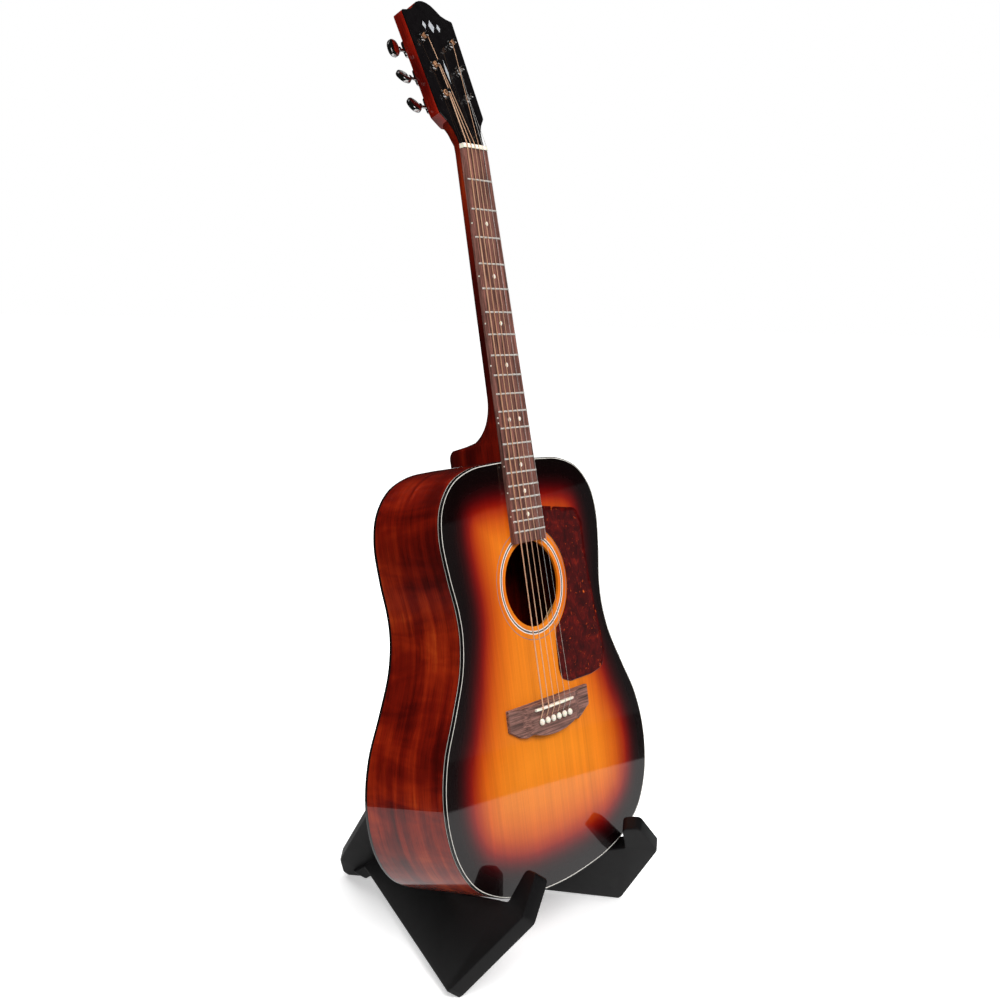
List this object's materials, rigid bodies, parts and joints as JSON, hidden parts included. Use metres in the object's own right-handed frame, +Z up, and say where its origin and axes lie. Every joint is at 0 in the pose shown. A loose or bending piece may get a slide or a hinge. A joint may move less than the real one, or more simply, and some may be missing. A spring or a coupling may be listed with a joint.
{
  "type": "guitar on stand",
  "caption": "Dreadnought acoustic guitar with turning tuners, resting on a stand of crossed black boards that cradle its lower edge.",
  "frame": {"origin": "centre of the footprint, on the floor under the stand", "axes": "+Z up, -Y the way the soundboard faces, +X towards the treble side (the pickguard side)"},
  "size_m": [0.3889, 0.3995, 1.1046],
  "materials": {
    "stand_black": "satin black lacquer over wood board, eased edges",
    "rubber": "matt black rubber strip",
    "spruce": "spruce under high-gloss lacquer, sunburst from near black at the rim through dark red to amber",
    "mahogany": "red-brown ribbon-figured mahogany under high-gloss lacquer",
    "bare_wood": "unfinished spruce and mahogany inside the body",
    "binding": "white plastic binding with a black line",
    "tortoise": "polished dark red-brown tortoise pattern plastic",
    "rosewood": "oiled rosewood, satin",
    "bone": "polished off-white bone substitute",
    "black_gloss": "high-gloss black",
    "chrome": "polished chrome plating",
    "steel": "drawn steel",
    "bronze": "bronze winding"
  },
  "bodies": {
    "stand": {"back_pad_left": "rubber", "back_pad_right": "rubber", "seat_pad_left": "rubber", "seat_pad_right": "rubber", "stand_board_left": "stand_black", "stand_board_right": "stand_black"},
    "button_1": {"tuner_button_1": "chrome"},
    "post_1": {"string_post_1": "chrome"},
    "button_2": {"tuner_button_2": "chrome"},
    "post_2": {"string_post_2": "chrome"},
    "button_3": {"tuner_button_3": "chrome"},
    "post_3": {"string_post_3": "chrome"},
    "button_4": {"tuner_button_4": "chrome"},
    "post_4": {"string_post_4": "chrome"},
    "button_5": {"tuner_button_5": "chrome"},
    "post_5": {"string_post_5": "chrome"},
    "button_6": {"tuner_button_6": "chrome"},
    "post_6": {"string_post_6": "chrome"},
    "guitar": {"back_binding": "binding", "back_brace_1": "bare_wood", "back_brace_2": "bare_wood", "back_brace_3": "bare_wood", "back_plate": "mahogany", "bridge": "rosewood", "bridge_pin_1": "bone", "bridge_pin_2": "bone", "bridge_pin_3": "bone", "bridge_pin_4": "bone", "bridge_pin_5": "bone", "bridge_pin_6": "bone", "bridge_plate": "bare_wood", "end_pin": "black_gloss", "fretboard": "rosewood", "headstock_overlay": "black_gloss", "neck": "mahogany", "neck_block": "bare_wood", "nut": "bone", "pickguard": "tortoise", "saddle": "bone", "side_bass": "mahogany", "side_treble": "mahogany", "soundboard": "spruce", "string_1": "steel", "string_2": "steel", "string_3": "bronze", "string_4": "bronze", "string_5": "bronze", "string_6": "bronze", "tail_block": "bare_wood", "top_binding": "binding", "truss_rod": "steel", "truss_rod_cover": "black_gloss", "tuner_housing_1": "chrome", "tuner_housing_2": "chrome", "tuner_housing_3": "chrome", "tuner_housing_4": "chrome", "tuner_housing_5": "chrome", "tuner_housing_6": "chrome", "x_brace_bass": "bare_wood", "x_brace_treble": "bare_wood"}
  },
  "joints": [
    {"name": "guitar_lift", "type": "slide", "parent": "stand", "child": "guitar", "axis": [0, 0.1132, 0.9936], "range_m": [0, 0.3]},
    {"name": "button_spin_1", "type": "hinge", "parent": "guitar", "child": "button_1", "pos_m": [0.02135, 0.05416, 0.97685], "axis": [0.9998, -0.0192, 0], "continuous": true},
    {"name": "button_spin_2", "type": "hinge", "parent": "guitar", "child": "button_2", "pos_m": [0.02315, 0.06969, 1.00932], "axis": [0.9998, -0.0192, 0], "continuous": true},
    {"name": "button_spin_3", "type": "hinge", "parent": "guitar", "child": "button_3", "pos_m": [0.02645, 0.08518, 1.04178], "axis": [0.9998, -0.0192, 0], "continuous": true},
    {"name": "button_spin_4", "type": "hinge", "parent": "guitar", "child": "button_4", "pos_m": [-0.02354, 0.08614, 1.04178], "axis": [0.9998, -0.0192, 0], "continuous": true},
    {"name": "button_spin_5", "type": "hinge", "parent": "guitar", "child": "button_5", "pos_m": [-0.02084, 0.07053, 1.00932], "axis": [0.9998, -0.0192, 0], "continuous": true},
    {"name": "button_spin_6", "type": "hinge", "parent": "guitar", "child": "button_6", "pos_m": [-0.01964, 0.05495, 0.97685], "axis": [0.9998, -0.0192, 0], "continuous": true},
    {"name": "post_spin_1", "type": "hinge", "parent": "guitar", "child": "post_1", "pos_m": [0.02107, 0.03937, 0.99226], "axis": [-0.0173, -0.9017, 0.4321], "continuous": true},
    {"name": "post_spin_2", "type": "hinge", "parent": "guitar", "child": "post_2", "pos_m": [0.02286, 0.05489, 1.02472], "axis": [-0.0173, -0.9017, 0.4321], "continuous": true},
    {"name": "post_spin_3", "type": "hinge", "parent": "guitar", "child": "post_3", "pos_m": [0.02616, 0.07039, 1.05719], "axis": [-0.0173, -0.9017, 0.4321], "continuous": true},
    {"name": "post_spin_4", "type": "hinge", "parent": "guitar", "child": "post_4", "pos_m": [-0.02383, 0.07135, 1.05719], "axis": [-0.0173, -0.9017, 0.4321], "continuous": true},
    {"name": "post_spin_5", "type": "hinge", "parent": "guitar", "child": "post_5", "pos_m": [-0.02113, 0.05574, 1.02472], "axis": [-0.0173, -0.9017, 0.4321], "continuous": true},
    {"name": "post_spin_6", "type": "hinge", "parent": "guitar", "child": "post_6", "pos_m": [-0.01993, 0.04016, 0.99226], "axis": [-0.0173, -0.9017, 0.4321], "continuous": true}
  ],
  "couplings": [
    {"joint": "post_spin_1", "follows": "button_spin_1", "ratio": 0.055556},
    {"joint": "post_spin_2", "follows": "button_spin_2", "ratio": 0.055556},
    {"joint": "post_spin_3", "follows": "button_spin_3", "ratio": 0.055556},
    {"joint": "post_spin_4", "follows": "button_spin_4", "ratio": -0.055556},
    {"joint": "post_spin_5", "follows": "button_spin_5", "ratio": -0.055556},
    {"joint": "post_spin_6", "follows": "button_spin_6", "ratio": -0.055556}
  ]
}
